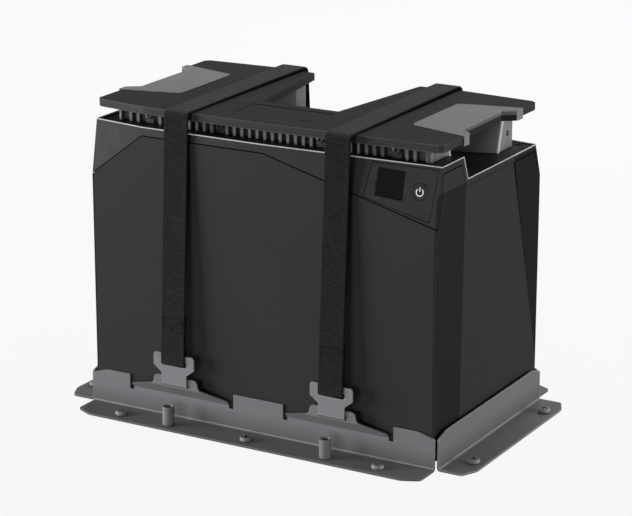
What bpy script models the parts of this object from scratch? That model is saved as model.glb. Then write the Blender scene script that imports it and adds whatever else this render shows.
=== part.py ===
"""Battery pack strapped down inside a frame of four floor rails, one object for each piece.

Frame: the origin is on the floor under the middle of the pack, +X runs to the right along the
front, +Y to the back and +Z up. Lengths are in millimetres, and heights are drawn from the upper
face of the rails' flanges. make_shape() lifts each shape from there by the thickness of a flange
and turns millimetres into metres.
"""

import math

import bmesh
import bpy
from mathutils import Vector

MM = 0.001
GAP = 0.3  # clearance between pieces that touch
SEAM = 0.9  # open joint between the shell and the collar

# Casing
CASE_X = 224.3  # half width
CASE_Y = 131.75  # half depth
CASE_BOTTOM = 6.0
SKIN = 3.5  # wall thickness
RIM_Z = 341.7  # top edge along the front
LOW_RIM_Z = 314.7  # top edge along the back and the rear of both sides
RIM_DROP = (-68.25, -57.25)  # y where the rim starts and ends its slope down
FRONT_SEAM = ((-CASE_X, 278.5), (-155.0, 331.5), (6.0, 331.5), (CASE_X, 274.0))
BACK_SEAM = ((-CASE_X, 277.0), (-150.0, 304.7), (150.0, 304.7), (CASE_X, 277.0))
FRONT_LEAN = 0.185  # how far the collar leans in for each unit of height above its seam
BACK_LEAN = 0.36
BAND = 8.5  # depth of the collar's band below the rim
LEG = 5.5  # width of the collar's corner legs
SCOOP = 1.5  # depth of the panel sunk into each side, at its top

# Display group in the collar's right front facet: outlines of x, z
FASCIA = ((134.0, 300.0), (214.9, 281.5), (220.0, 338.0), (141.5, 338.5))
SCREEN = ((147.0, 303.5), (180.5, 301.0), (181.5, 332.0), (149.0, 333.5))
BUTTON = (200.5, 313.0)
BUTTON_RADIUS = 9.5

# Decks, top housing and cover
DECK_Z = 339.7
LOW_DECK_Z = 314.0
DECK_THICK = 2.5
COVER_X, COVER_Y = 224.0, 118.5
COVER_TOP, COVER_BOTTOM = 365.5, 356.5
BRIDGE_Y = -37.25  # rear edge of the bridge between the cover's two wings
HOUSING_X, HOUSING_FRONT, HOUSING_BACK = 204.0, -107.5, 101.0
HOUSING_TOP = COVER_BOTTOM - GAP
RIB_PITCH, RIB_WIDTH, RIB_DEPTH = 10.0, 4.2, 7.0
BOSSES = (65.5, 161.0)  # x of the screw bosses between the front ribs
BOSS_WIDTH, BOSS_SETBACK = 12.0, 3.0
BAY_Y = 3.25  # middle of the end bays and of the grips above them
BAY_FLOOR, BAY_DEPTH = 154.0, 50.0  # x of the wall at a bay's inner end, and its distance inwards
BAY_HALF = (38.5, 50.0)  # half width at that wall, at the lower deck and at the cover
BAY_FLARE = 18.0  # by how much a bay's half width grows outwards
WELL_FLOOR = 343.0

# Hatch in the cover
HATCH_X = 52.0
HATCH_FRONT = -95.25
HATCH_AXIS = (-53.6, 362.9)  # y, z
HATCH_TOP, HATCH_BOTTOM = 365.2, 361.0

# Floor rails
SHEET = 2.5
WALL_Z = 41.0
FRONT_WALL, FRONT_FLANGE, FRONT_HALF = 134.75, 176.75, 227.5
SIDE_WALL, SIDE_FLANGE, SIDE_HALF = 231.5, 269.5, 132.0
FOLD_Z = 27.5
FLAP_ANGLE, FLAP_LENGTH = math.radians(41.0), 18.5
ZONE = 65.5  # half width of the flap that carries a strap
NOTCH_WIDTH, NOTCH_Z = 6.0, 23.0
STANDOFF_X, STANDOFF_Y = 104.5, -162.5
STANDOFF = (5.4, 7.0, 22.9)  # radius of the bore, outer radius, height

# Straps
STRAP_X = 104.6
WEB_WIDTH, WEB = 32.5, 2.0
HOOK_Y = -148.5  # middle of the hook's plate; the front half of the frame is drawn at -Y
HOOK_X, SLOT_X = 27.5, 17.2  # half widths of the plate and of its slot
LOOP_Y = -142.7
BAR_Z = (73.2, 81.7)
BUCKLE_Y = -143.4  # middle of the buckle's base plate
BUCKLE_X = 23.0
PIVOT = (-153.6, 190.0)  # y, z of the cam lever's pin

# Cells
CELL = (53.0, 174.0, 205.0)
CELL_COUNT, CELL_PITCH, CELL_Z = 8, 53.6, 10.0

FINISHES = {  # colour, roughness, metallic
    "graphite_plastic": ((0.045, 0.045, 0.047), 0.45, 0.0),
    "cover_plastic": ((0.060, 0.060, 0.064), 0.50, 0.0),
    "grip_plastic": ((0.170, 0.170, 0.178), 0.45, 0.0),
    "gloss_black": ((0.010, 0.010, 0.012), 0.08, 0.0),
    "gloss_panel": ((0.035, 0.035, 0.036), 0.25, 0.0),
    "cast_aluminium": ((0.330, 0.330, 0.335), 0.40, 0.8),
    "powder_grey": ((0.230, 0.230, 0.238), 0.55, 0.2),
    "zinc_steel": ((0.450, 0.450, 0.460), 0.35, 0.9),
    "hook_grey": ((0.290, 0.285, 0.300), 0.50, 0.2),
    "webbing_black": ((0.016, 0.016, 0.017), 0.85, 0.0),
    "rubber_black": ((0.020, 0.020, 0.020), 0.80, 0.0),
    "cell_blue": ((0.040, 0.100, 0.260), 0.35, 0.3),
    "board_green": ((0.020, 0.120, 0.050), 0.50, 0.0),
    "tray_white": ((0.600, 0.600, 0.580), 0.50, 0.0),
}


# --- Outlines -------------------------------------------------------------------------------

def arc(centre, radius, start, end, steps):
    """Points of an arc from one angle to another, in degrees."""
    angles = [math.radians(start + (end - start) * step / steps) for step in range(steps + 1)]
    return [(centre[0] + radius * math.cos(a), centre[1] + radius * math.sin(a)) for a in angles]


def rounded(corners, radii, steps=4):
    """A path through its corners, each inner one replaced by an arc of its own radius."""
    path = [Vector(corners[0])]
    for before, corner, after, radius in zip(corners, corners[1:], corners[2:], radii):
        corner = Vector(corner)
        back = (Vector(before) - corner).normalized()
        ahead = (Vector(after) - corner).normalized()
        half = back.angle(ahead) / 2
        centre = corner + (back + ahead).normalized() * radius / math.sin(half)
        start = corner + back * radius / math.tan(half) - centre
        end = corner + ahead * radius / math.tan(half) - centre
        for step in range(steps + 1):
            point = centre + start.lerp(end, step / steps).normalized() * radius
            if (point - path[-1]).length > 0.05:
                path.append(point)
    path.append(Vector(corners[-1]))
    return path


def offset(path, distance, closed):
    """The path moved sideways, to the right of its direction."""
    moved = []
    count = len(path)
    for index, point in enumerate(path):
        point = Vector(point)
        first = Vector(path[index - 1]) if closed or index else None
        last = Vector(path[(index + 1) % count]) if closed or index < count - 1 else None
        runs = []
        if first is not None:
            runs.append((point - first).normalized())
        if last is not None:
            runs.append((last - point).normalized())
        sides = [Vector((run.y, -run.x)) for run in runs]
        middle = sum(sides, Vector((0.0, 0.0))).normalized()
        moved.append(point + middle * distance / middle.dot(sides[0]))
    return moved


def ribbon(path, thickness):
    """The outline of a strip of even thickness along a path."""
    right = offset(path, thickness / 2, False)
    left = offset(path, -thickness / 2, False)
    return right + left[::-1]


def softened(outline, radii):
    """A closed outline with an arc of its own radius at each corner; 0 keeps a corner sharp."""
    middle = (Vector(outline[0]) + Vector(outline[-1])) / 2
    return rounded([middle, *outline, middle], radii)[1:-1]


def grown(outline, by):
    """A closed outline, listed counter-clockwise, made larger all round."""
    return offset(outline, by, True)


def seam_height(seam, x):
    """Height of a seam above the floor at x; its outer runs go on past their ends."""
    (x0, z0), (x1, z1), (x2, z2), (x3, z3) = seam
    left = z0 + (x - x0) * (z1 - z0) / (x1 - x0)
    right = z3 + (x - x3) * (z3 - z2) / (x3 - x2)
    return min(left, z1, right)


# --- Solids ---------------------------------------------------------------------------------

def make_shape(bm):
    """A scene object in metres, above the floor, from a bmesh drawn in millimetres."""
    bmesh.ops.recalc_face_normals(bm, faces=bm.faces)
    bmesh.ops.translate(bm, vec=(0, 0, SHEET), verts=bm.verts)
    bmesh.ops.scale(bm, vec=(MM, MM, MM), verts=bm.verts)
    mesh = bpy.data.meshes.new("shape")
    bm.to_mesh(mesh)
    bm.free()
    shape = bpy.data.objects.new("shape", mesh)
    bpy.context.scene.collection.objects.link(shape)
    return shape


def prism(outline, axis, low, high):
    """An outline swept along X (its points are y, z), Y (x, z) or Z (x, y)."""
    order = {"X": (2, 0, 1), "Y": (0, 2, 1), "Z": (0, 1, 2)}[axis]
    bm = bmesh.new()
    rings = []
    for level in (low, high):
        corners = [(point[0], point[1], level) for point in outline]
        rings.append([bm.verts.new([corner[i] for i in order]) for corner in corners])
        bm.faces.new(rings[-1])
    for index in range(len(outline)):
        after = (index + 1) % len(outline)
        bm.faces.new((rings[0][index], rings[0][after], rings[1][after], rings[1][index]))
    return make_shape(bm)


def box(x, y, z):
    """A block between pairs of limits."""
    return prism(((x[0], y[0]), (x[1], y[0]), (x[1], y[1]), (x[0], y[1])), "Z", z[0], z[1])


def hull(points):
    """The convex solid around some points."""
    bm = bmesh.new()
    for point in points:
        bm.verts.new(point)
    bmesh.ops.convex_hull(bm, input=bm.verts)
    bmesh.ops.delete(bm, geom=[v for v in bm.verts if not v.link_faces], context="VERTS")
    bmesh.ops.dissolve_limit(bm, angle_limit=0.002, verts=bm.verts, edges=bm.edges)
    return make_shape(bm)


def turned(profile, centre, direction=(0, 0, 1), segments=20):
    """A profile of (radius, height) turned about an axis through centre.

    A profile that starts and ends at radius 0 is a solid; any other one closes into a ring.
    """
    bm = bmesh.new()
    rings = []
    for radius, height in profile:
        count = segments if radius else 1
        angles = [2 * math.pi * step / segments for step in range(count)]
        rings.append([bm.verts.new((radius * math.cos(a), radius * math.sin(a), height))
                      for a in angles])
    pairs = list(zip(rings, rings[1:]))
    if profile[0][0]:
        pairs.append((rings[-1], rings[0]))
    for lower, upper in pairs:
        for step in range(segments):
            after = (step + 1) % segments
            corners = [lower[step % len(lower)], lower[after % len(lower)],
                       upper[after % len(upper)], upper[step % len(upper)]]
            bm.faces.new(list(dict.fromkeys(corners)))
    turn = Vector((0, 0, 1)).rotation_difference(Vector(direction)).to_matrix().to_4x4()
    bmesh.ops.transform(bm, matrix=turn, verts=bm.verts)
    bmesh.ops.translate(bm, vec=centre, verts=bm.verts)
    return make_shape(bm)


def disc(centre, radius, low, high, direction=(0, 0, 1), segments=20):
    """A cylinder along a direction, between two heights above its centre."""
    profile = ((0, low), (radius, low), (radius, high), (0, high))
    return turned(profile, centre, direction, segments)


def combine(body, others, operation):
    """Join, cut or intersect a shape with others, which are used up."""
    for other in others:
        step = body.modifiers.new("combine", "BOOLEAN")
        step.operation = operation
        step.object = other
    bpy.context.view_layer.update()
    graph = bpy.context.evaluated_depsgraph_get()
    mesh = bpy.data.meshes.new_from_object(body.evaluated_get(graph))
    body.modifiers.clear()
    body.data = mesh
    for other in others:
        bpy.data.objects.remove(other)
    return body


def join(body, *others):
    return combine(body, others, "UNION")


def cut(body, *others):
    return combine(body, others, "DIFFERENCE")


def keep(body, other):
    return combine(body, (other,), "INTERSECT")


def turn_about_z(shape, quarter_turns):
    """Turn a shape's mesh about the world's vertical axis."""
    cosine, sine = ((1, 0), (0, 1), (-1, 0), (0, -1))[quarter_turns % 4]
    for vertex in shape.data.vertices:
        x, y, z = vertex.co
        vertex.co = (cosine * x - sine * y, sine * x + cosine * y, z)
    return shape


def piece(shape, name, finish, origin=None):
    """Name a shape, merge its flat facets, give it its material and its origin, as drawn."""
    bm = bmesh.new()
    bm.from_mesh(shape.data)
    bmesh.ops.remove_doubles(bm, verts=bm.verts, dist=0.000002)
    bmesh.ops.dissolve_limit(bm, angle_limit=0.002, verts=bm.verts, edges=bm.edges)
    if origin is not None:
        shape.location = (Vector(origin) + Vector((0, 0, SHEET))) * MM
        bmesh.ops.translate(bm, vec=-shape.location, verts=bm.verts)
    bm.to_mesh(shape.data)
    bm.free()
    shape.name = shape.data.name = name
    shape.data.materials.clear()
    shape.data.materials.append(material(finish))
    shape.data.shade_smooth()
    shape.data.set_sharp_from_angle(angle=math.radians(30))
    return shape


def material(finish):
    """The Principled material of a finish, made once."""
    found = bpy.data.materials.get(finish)
    if found:
        return found
    colour, roughness, metallic = FINISHES[finish]
    found = bpy.data.materials.new(finish)
    found.use_nodes = True
    shader = found.node_tree.nodes["Principled BSDF"]
    shader.inputs["Base Color"].default_value = (*colour, 1.0)
    shader.inputs["Roughness"].default_value = roughness
    shader.inputs["Metallic"].default_value = metallic
    return found


# --- Floor rails and what is screwed to them --------------------------------------------------

def rail(wall, flange, half):
    """An angle rail drawn as the front one: wall face at y = -wall, flange towards -Y."""
    middle = SHEET / 2
    section = rounded(((-flange, -middle), (middle - wall, -middle), (middle - wall, WALL_Z)), (3.0,))
    body = prism(ribbon(section, SHEET), "X", -half, half)
    trims = []
    for side in (-1, 1):
        end = side * half
        top = rounded(((end - side * 45, WALL_Z), (end - side * 20, WALL_Z), (end, 35.0),
                       (end, 20.0)), (35, 3))[1:-1]
        top += [(end + side, top[-1].y), (end + side, 50), (top[0].x, 50)]
        corner = rounded(((end - side * 60, -flange), (end - side * 20, -flange),
                          (end, 9.5 - flange), (end, 30 - flange)), (14, 5))[1:-1]
        corner += [(end + side, corner[-1].y), (end + side, -flange - 1), (corner[0].x, -flange - 1)]
        trims.append(prism(top, "Y", -wall - 5, -wall + 5))
        trims.append(prism(corner, "Z", -SHEET - 1, 1))
    return cut(body, *trims)


def add_anchor(body, x):
    """Lower the wall at x, fold a flap out of it and stand the strap's anchor loop on the flap."""
    wall_middle = SHEET / 2 - FRONT_WALL
    end = ZONE + NOTCH_WIDTH
    gap = ((x - end, 50), (x - end, NOTCH_Z), (x - ZONE, NOTCH_Z), (x - ZONE, 25.5),
           (x + ZONE, 25.5), (x + ZONE, NOTCH_Z), (x + end, NOTCH_Z), (x + end, 50))
    body = cut(body, prism(gap, "Y", -FRONT_WALL - 5, -FRONT_WALL + 5))

    flap_end = (wall_middle - FLAP_LENGTH * math.sin(FLAP_ANGLE),
                FOLD_Z + FLAP_LENGTH * math.cos(FLAP_ANGLE))
    bend = rounded(((wall_middle, 18.0), (wall_middle, FOLD_Z), flap_end), (3.0,))
    flap = prism(ribbon(bend, SHEET), "X", x - ZONE, x + ZONE)
    corners = []
    for side in (-1, 1):
        slope = ((x + side * 30, 60), (x + side * 30, flap_end[1] + 0.8), (x + side * (ZONE + 1), 32.2),
                 (x + side * (ZONE + 1), 60))
        corners.append(prism(slope, "Y", -155, -FRONT_WALL + 5))
    flap = cut(flap, *corners)

    plate = softened(((x - 33, 40.3), (x + 33, 40.3), (x + 30, 45), (x + 29, 53), (x - 29, 53),
                      (x - 30, 45)), (0, 0, 4, 5, 5, 4))
    loop = prism(plate, "Y", flap_end[0] - SHEET / 2, flap_end[0] + SHEET / 2)
    window = box((x - 18, x + 18), (-155, -138), (41.6, 46.5))
    return cut(join(body, flap, loop), window)


def build_rails():
    """Four rails with their flange screws and stand-offs."""
    for name, turns in (("rail_front", 0), ("rail_back", 2)):
        body = rail(FRONT_WALL, FRONT_FLANGE, FRONT_HALF)
        for x in (-STRAP_X, STRAP_X):
            body = add_anchor(body, x)
        build_flange(body, name, turns, [(x, -161.5) for x in (-171, 0, 171)])
    for name, turns in (("rail_right", 1), ("rail_left", 3)):
        body = rail(SIDE_WALL, SIDE_FLANGE, SIDE_HALF)
        build_flange(body, name, turns, [(x, -255.5) for x in (-93, 93)])


def build_flange(body, name, turns, screws):
    """Drill a rail's flange for its screws, turn the rail into place and add the screws."""
    holes = [disc((x, y, 0), 3.5, -SHEET - 1, 1, segments=16) for x, y in screws]
    piece(turn_about_z(cut(body, *holes), turns), name, "powder_grey")
    side = name.split("_")[1]
    for index, (x, y) in enumerate(screws, 1):
        piece(turn_about_z(floor_screw(x, y), turns), f"floor_screw_{side}_{index}", "zinc_steel")
    if side in ("front", "back"):
        bore, radius, top = STANDOFF
        for index, x in enumerate((-STANDOFF_X, STANDOFF_X), 1):
            ring = ((bore, GAP), (radius, GAP), (radius, top), (bore, top))
            tube = turned(ring, (x, STANDOFF_Y, 0), segments=24)
            piece(turn_about_z(tube, turns), f"standoff_{side}_{index}", "zinc_steel")


def floor_screw(x, y):
    """A pan-head screw with a cross recess, cut off level with the underside of the rail."""
    tip = GAP - SHEET
    profile = ((0, tip), (3, tip), (3, GAP), (7.25, GAP), (7.25, GAP + 2.2), (6.2, GAP + 4.0),
               (3.6, GAP + 4.9), (0, GAP + 5.0))
    head = turned(profile, (x, y, 0), segments=16)
    slots = [box((x - a, x + a), (y - b, y + b), (GAP + 2.6, GAP + 6))
             for a, b in ((3.2, 0.7), (0.7, 3.2))]
    return cut(head, *slots)


# --- Straps -----------------------------------------------------------------------------------

def hook_loop(top):
    """Path of a webbing end from its stitched tail at height top, round the hook's bar."""
    front, back = HOOK_Y - SHEET / 2 - WEB / 2 - 0.4, HOOK_Y + SHEET / 2 + WEB / 2 + 0.4
    turn = (back - front) / 2
    low = BAR_Z[0] + GAP - turn
    tail = ((HOOK_Y + 0.55 + (top - 96) * 0.054, top), (HOOK_Y + 0.55, 96.0), (back, 84.0))
    path = (*tail, (back, low), (front, low), (front, 82.0))
    return path, (8, 8, turn - 0.01, turn - 0.01)


def strap_hook(x):
    """A sheet hook: a plate slotted for the webbing, with a tongue bent back through the anchor."""
    turn = (LOOP_Y - HOOK_Y) / 2
    low = 46.2 - turn
    path = ((LOOP_Y, 52.0), (LOOP_Y, low), (HOOK_Y, low), (HOOK_Y, BAR_Z[1]))
    body = prism(ribbon(rounded(path, (turn - 0.01,) * 2), SHEET), "X", x - 30, x + 30)
    right = ((17.0, 30), (17.0, 58), (HOOK_X, 66), (HOOK_X, 78.5), (HOOK_X - 2.5, BAR_Z[1] + 1))
    outline = [(x + s, z) for s, z in right] + [(x - s, z) for s, z in right[::-1]]
    slot = ((SLOT_X - 2, 67.3), (SLOT_X, 69.3), (SLOT_X, BAR_Z[0]))
    window = [(x + s, z) for s, z in slot] + [(x - s, z) for s, z in slot[::-1]]
    return cut(keep(body, prism(outline, "Y", -160, -130)), prism(window, "Y", HOOK_Y - 4, HOOK_Y + 3))


def long_webbing(x):
    """The webbing from the front hook over the cover and down into the rear buckle."""
    start, radii = hook_loop(132.0)
    buckle = -(BUCKLE_Y - 1 - WEB / 2 - 0.4)
    over = ((-135.0, 367.0), (134.5, 369.0), (buckle, 212.0), (buckle, 160.0))
    path = rounded((*start, *over), (*radii, 4.0, 5.0, 9.0, 20.0), steps=5)
    return prism(ribbon(path, WEB), "X", x - WEB_WIDTH / 2, x + WEB_WIDTH / 2)


def short_webbing(x):
    """The webbing between a rear hook and its buckle, looped at both ends; drawn at -Y."""
    start, radii = hook_loop(108.0)
    outer, inner = BUCKLE_Y - 1 - WEB / 2 - 0.4, BUCKLE_Y + 1 + WEB / 2 + 0.4
    turn = (inner - outer) / 2
    top = 153.2 + turn
    end = ((outer, 146.0), (outer, top), (inner, top), (inner, 147.0), (-144.2, 137.0),
           (-145.6, 119.0))
    path = rounded((*start, *end), (*radii, 4, 4, turn - 0.01, turn - 0.01, 3, 4))
    return prism(ribbon(path, WEB), "X", x - WEB_WIDTH / 2, x + WEB_WIDTH / 2)


def buckle_frame(x):
    """A channel with a slotted base for the lower webbing and two cheeks for the lever's pin."""
    inner, outer = BUCKLE_Y + 1, BUCKLE_Y - 1
    channel = [(x + a, y) for a, y in (
        (-BUCKLE_X, inner), (BUCKLE_X, inner), (BUCKLE_X, -158.5), (BUCKLE_X - 2, -158.5),
        (BUCKLE_X - 2, outer), (2 - BUCKLE_X, outer), (2 - BUCKLE_X, -158.5), (-BUCKLE_X, -158.5))]
    side = ((inner + 1, 148), (inner + 1, 206), (-149, 206), (-159, 197), (-159, 183), (-149, 160),
            (outer, 160), (outer, 148))
    body = keep(prism(channel, "Z", 148, 206), prism(side, "X", x - 30, x + 30))
    slot = box((x - 18, x + 18), (outer - 1, inner + 1), (153.5, 158.5))
    hole = disc((x, *PIVOT), 2.35, -30, 30, (1, 0, 0), 16)
    return cut(body, slot, hole)


def cam_lever(x):
    """A lever whose cam presses on the webbing, in one piece with its pin."""
    y, z = PIVOT
    cam = arc(PIVOT, 6.5, -60, 0, 4) + arc(PIVOT, 4.6, 40, 180, 6)
    arm = [(y - 3.6, z - 25), (y - 8.0, z - 41), (y - 5.2, z - 42), (y - 0.6, z - 26)]
    body = prism(cam + arm, "X", x - 20.4, x + 20.4)
    return join(body, disc((x, *PIVOT), 2.0, -BUCKLE_X, BUCKLE_X, (1, 0, 0), 16))


def build_straps():
    """Two straps, each with two hooks, two webbings and a cam buckle on the rear run."""
    for side, x in (("left", -STRAP_X), ("right", STRAP_X)):
        piece(strap_hook(x), f"strap_hook_front_{side}", "hook_grey")
        piece(turn_about_z(strap_hook(-x), 2), f"strap_hook_back_{side}", "hook_grey")
        piece(long_webbing(x), f"webbing_long_{side}", "webbing_black")
        piece(turn_about_z(short_webbing(-x), 2), f"webbing_short_{side}", "webbing_black")
        piece(turn_about_z(buckle_frame(-x), 2), f"buckle_frame_{side}", "zinc_steel")
        piece(turn_about_z(cam_lever(-x), 2), f"cam_lever_{side}", "zinc_steel",
              origin=(x, -PIVOT[0], PIVOT[1]))


# --- Casing -----------------------------------------------------------------------------------

def case_solid(side, depth, bottom, top):
    """The casing's convex outer form, made smaller by side in X and by depth in Y."""
    half = CASE_X - side
    points = []
    for seam, lean, face in ((FRONT_SEAM, FRONT_LEAN, -1), (BACK_SEAM, BACK_LEAN, 1)):
        wall = CASE_Y - depth
        for x in (-half, seam[1][0], seam[2][0], half):
            height = seam_height(seam, x)
            points.append((x, face * wall, height))
            points.append((x, face * (wall - lean * (top - height)), top))
        points += [(-half, face * wall, bottom), (half, face * wall, bottom)]
    return hull(points)


def case_skin():
    """The whole outer skin, open at the top, with the rim stepped down behind the front."""
    slope = (RIM_DROP[1] - RIM_DROP[0]) / (RIM_Z - LOW_RIM_Z)
    lowered = ((RIM_DROP[0] - slope * 10, RIM_Z + 10), (RIM_DROP[1], LOW_RIM_Z), (150, LOW_RIM_Z),
               (150, RIM_Z + 10))
    outer = case_solid(0, 0, CASE_BOTTOM, RIM_Z)
    return cut(outer, prism(lowered, "X", -250, 250),
               case_solid(SKIN, SKIN, CASE_BOTTOM + SKIN, RIM_Z + 10))


def collar_zone(up):
    """The space that the collar takes; up moves its lower edges up and its legs' edges out."""
    side_band = ((-150, RIM_Z - BAND), (RIM_DROP[0] - 4.25, RIM_Z - BAND),
                 (RIM_DROP[1] - 4.25, LOW_RIM_Z - BAND), (150, LOW_RIM_Z - BAND), (150, 400), (-150, 400))
    zone = prism([(y, z + up) for y, z in side_band], "X", -250, 250)
    core = case_solid(-20, LEG - up, 200, 420)
    front, back = [
        prism([(-250, seam_height(seam, -250) + up), (seam[1][0], seam[1][1] + up),
               (seam[2][0], seam[2][1] + up), (250, seam_height(seam, 250) + up), (250, 400),
               (-250, 400)], "Y", low, high)
        for seam, low, high in ((FRONT_SEAM, -150, -1), (BACK_SEAM, 1, 150))]
    return join(zone, cut(front, core), cut(back, case_solid(-20, LEG - up, 200, 420)))


def scoop(side):
    """Cutter for the panel sunk into a side: SCOOP deep at the top, nothing at the bottom."""
    outside = side * (CASE_X + 5)
    top, bottom = 312.0, 57.0
    corners = ((-61.5, top), (61.0, top), (130.0, bottom), (-67.5, bottom))
    inner = (CASE_X - SCOOP, CASE_X - SCOOP, CASE_X, CASE_X)
    return hull([(outside, y, z) for y, z in corners]
                + [(side * x, y, z) for x, (y, z) in zip(inner, corners)])


def facet_frame():
    """Normal of the collar's right front facet, and a function that places points on it."""
    (x0, z0), (x1, z1) = FRONT_SEAM[2:]
    fall = (z1 - z0) / (x1 - x0)
    normal = Vector((-FRONT_LEAN * fall, -1.0, FRONT_LEAN)).normalized()

    def place(x, z, out):
        height = z - (z0 + (x - x0) * fall)
        return Vector((x, FRONT_LEAN * height - CASE_Y, z)) + normal * out

    return normal, place


def facet_plate(outline, low, high):
    """A plate on the right front facet, from an outline of x, z and two heights above it."""
    place = facet_frame()[1]
    return hull([place(x, z, out) for out in (low, high) for x, z in outline])


def build_casing():
    """Shell, collar, deck, feet and the display group in the collar's right front facet."""
    normal, place = facet_frame()
    button = place(*BUTTON, 0)
    shell = cut(case_skin(), collar_zone(0), scoop(-1), scoop(1))
    piece(shell, "case_shell", "graphite_plastic")

    collar = keep(case_skin(), collar_zone(SEAM))
    collar = cut(collar, facet_plate(grown(FASCIA, GAP), -2.3, 2),
                 disc(button, BUTTON_RADIUS + GAP, -9, 2, normal))
    piece(collar, "case_collar", "graphite_plastic")

    fascia = cut(facet_plate(FASCIA, -2.0, 0), facet_plate(grown(SCREEN, GAP), -4, 2),
                 disc(button, BUTTON_RADIUS + GAP, -4, 2, normal))
    piece(fascia, "display_fascia", "gloss_panel")
    piece(facet_plate(SCREEN, -1.9, -0.2), "display_screen", "gloss_black")
    piece(disc(button, BUTTON_RADIUS, -3.2, 0, normal, 28), "power_button", "gloss_panel",
          origin=button)

    inset = SKIN + 0.5
    ramp = RIM_DROP[0] + 4.0, RIM_DROP[1] + 4.0
    step = ((-150, DECK_Z), (ramp[0], DECK_Z), (ramp[1], LOW_DECK_Z), (150, LOW_DECK_Z),
            (150, LOW_DECK_Z - DECK_THICK), (ramp[1] - 2.2, LOW_DECK_Z - DECK_THICK),
            (ramp[0] - 2.2, DECK_Z - DECK_THICK), (-150, DECK_Z - DECK_THICK))
    deck = keep(case_solid(inset, inset, 200, 345), prism(step, "X", -250, 250))
    deck = cut(deck, *[disc((x, 109, 300), 5.0, 0, 30) for x in (-206, 206)])
    piece(deck, "deck_plate", "graphite_plastic")

    for row, y in (("front", -100), ("back", 100)):
        for side, x in (("left", -190), ("right", 190)):
            under = CASE_BOTTOM - GAP
            profile = ((0, -SHEET), (14, -SHEET), (15, 1 - SHEET), (15, under), (0, under))
            piece(turned(profile, (x, y, 0)), f"rubber_foot_{row}_{side}", "rubber_black")


# --- Top housing, cover and grips ---------------------------------------------------------------

def ribbed_edge(low, high, base, face, bosses=()):
    """An edge along X with ribs that stand out from base to face, and set-back bosses."""
    ribs = [(x, BOSS_WIDTH, face + BOSS_SETBACK) for x in bosses]
    first = math.ceil((low - 5) / RIB_PITCH)
    last = math.floor((high - 5) / RIB_PITCH)
    for index in range(first, last + 1):
        centre = index * RIB_PITCH + 5
        near_boss = any(abs(centre - x) < (BOSS_WIDTH + RIB_WIDTH) / 2 + 0.5 for x in bosses)
        near_end = centre - low < RIB_WIDTH or high - centre < RIB_WIDTH
        if not near_boss and not near_end:
            ribs.append((centre, RIB_WIDTH, face))
    edge = []
    for centre, width, reach in sorted(ribs):
        left, right = centre - width / 2, centre + width / 2
        edge += [(left, base), (left, reach), (right, reach), (right, base)]
    return edge


def mirrored(half):
    """An outline from its half at +X, listed counter-clockwise from the front to the back."""
    return [*half, *[(-x, y) for x, y in half[::-1]]]


def bay(side):
    """Cutter for the bay in an end of the housing, wider towards the outside and the top."""
    outside = BAY_FLOOR + BAY_DEPTH
    points = []
    for half, z in zip(BAY_HALF, (LOW_DECK_Z, COVER_BOTTOM)):
        for sign in (-1, 1):
            points.append((side * BAY_FLOOR, BAY_Y + sign * half, z))
            points.append((side * outside, BAY_Y + sign * (half + BAY_FLARE), z))
            points.append((side * (outside + 1), BAY_Y + sign * (half + BAY_FLARE), z))
    return hull(points)


def build_housing():
    """The ribbed aluminium housing between deck and cover, with bays at both ends."""
    base = HOUSING_FRONT + RIB_DEPTH
    post = HOUSING_X - 6
    bosses = [side * x for x in BOSSES for side in (-1, 1)]
    front = ribbed_edge(-post, post, base, HOUSING_FRONT, bosses)
    corner = arc((post, HOUSING_FRONT + 6), 6, 270, 360, 4)
    wing_back = ribbed_edge(76, post, HOUSING_BACK - 5, HOUSING_BACK)[::-1]
    wing = [*arc((post, HOUSING_BACK - 6), 6, 0, 90, 4), (post, HOUSING_BACK - 5), *wing_back,
            (76, HOUSING_BACK - 5), (76, HOUSING_BACK), *arc((76, HOUSING_BACK - 6), 6, 90, 180, 4)[1:],
            (70, BRIDGE_Y - 3)]
    half = [(post, base), *corner, *wing]
    outline = [*front, *mirrored(half)]
    body = prism(outline, "Z", LOW_DECK_Z + GAP, HOUSING_TOP)

    ramp = RIM_DROP[0] + 4.4, RIM_DROP[1] + 4.4
    slope = (ramp[1] - ramp[0]) / (DECK_Z - LOW_DECK_Z)
    under = ((-150, DECK_Z + GAP), (ramp[0], DECK_Z + GAP), (ramp[1] + slope * 10, LOW_DECK_Z - 10),
             (-150, LOW_DECK_Z - 10))
    well = box((-50, 50), (-92, -48), (WELL_FLOOR, 370))
    hollows = [box((side * 112 - 34, side * 112 + 34), (-30, 90), (300, 351)) for side in (-1, 1)]
    body = cut(body, prism(under, "X", -250, 250), well, *hollows, bay(-1), bay(1))
    piece(body, "top_housing", "cast_aluminium")

    ports = box((-42, 42), (-84, -58), (WELL_FLOOR + GAP, WELL_FLOOR + 10))
    sockets = [box((x - 7.5, x + 7.5), (-78, -64), (WELL_FLOOR + 3, WELL_FLOOR + 20))
               for x in (-28, 0, 28)]
    piece(cut(ports, *sockets), "port_block", "gloss_black")

    socket = ((0, GAP), (14, GAP), (14, 3), (11.5, 4), (11.5, 15), (8.5, 15), (8.5, 6), (0, 6))
    for side, x in (("left", -154), ("right", 154)):
        direction = (math.copysign(1, x), 0, 0)
        piece(turned(socket, (x, BAY_Y, 334), direction), f"power_socket_{side}", "gloss_black")


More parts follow.
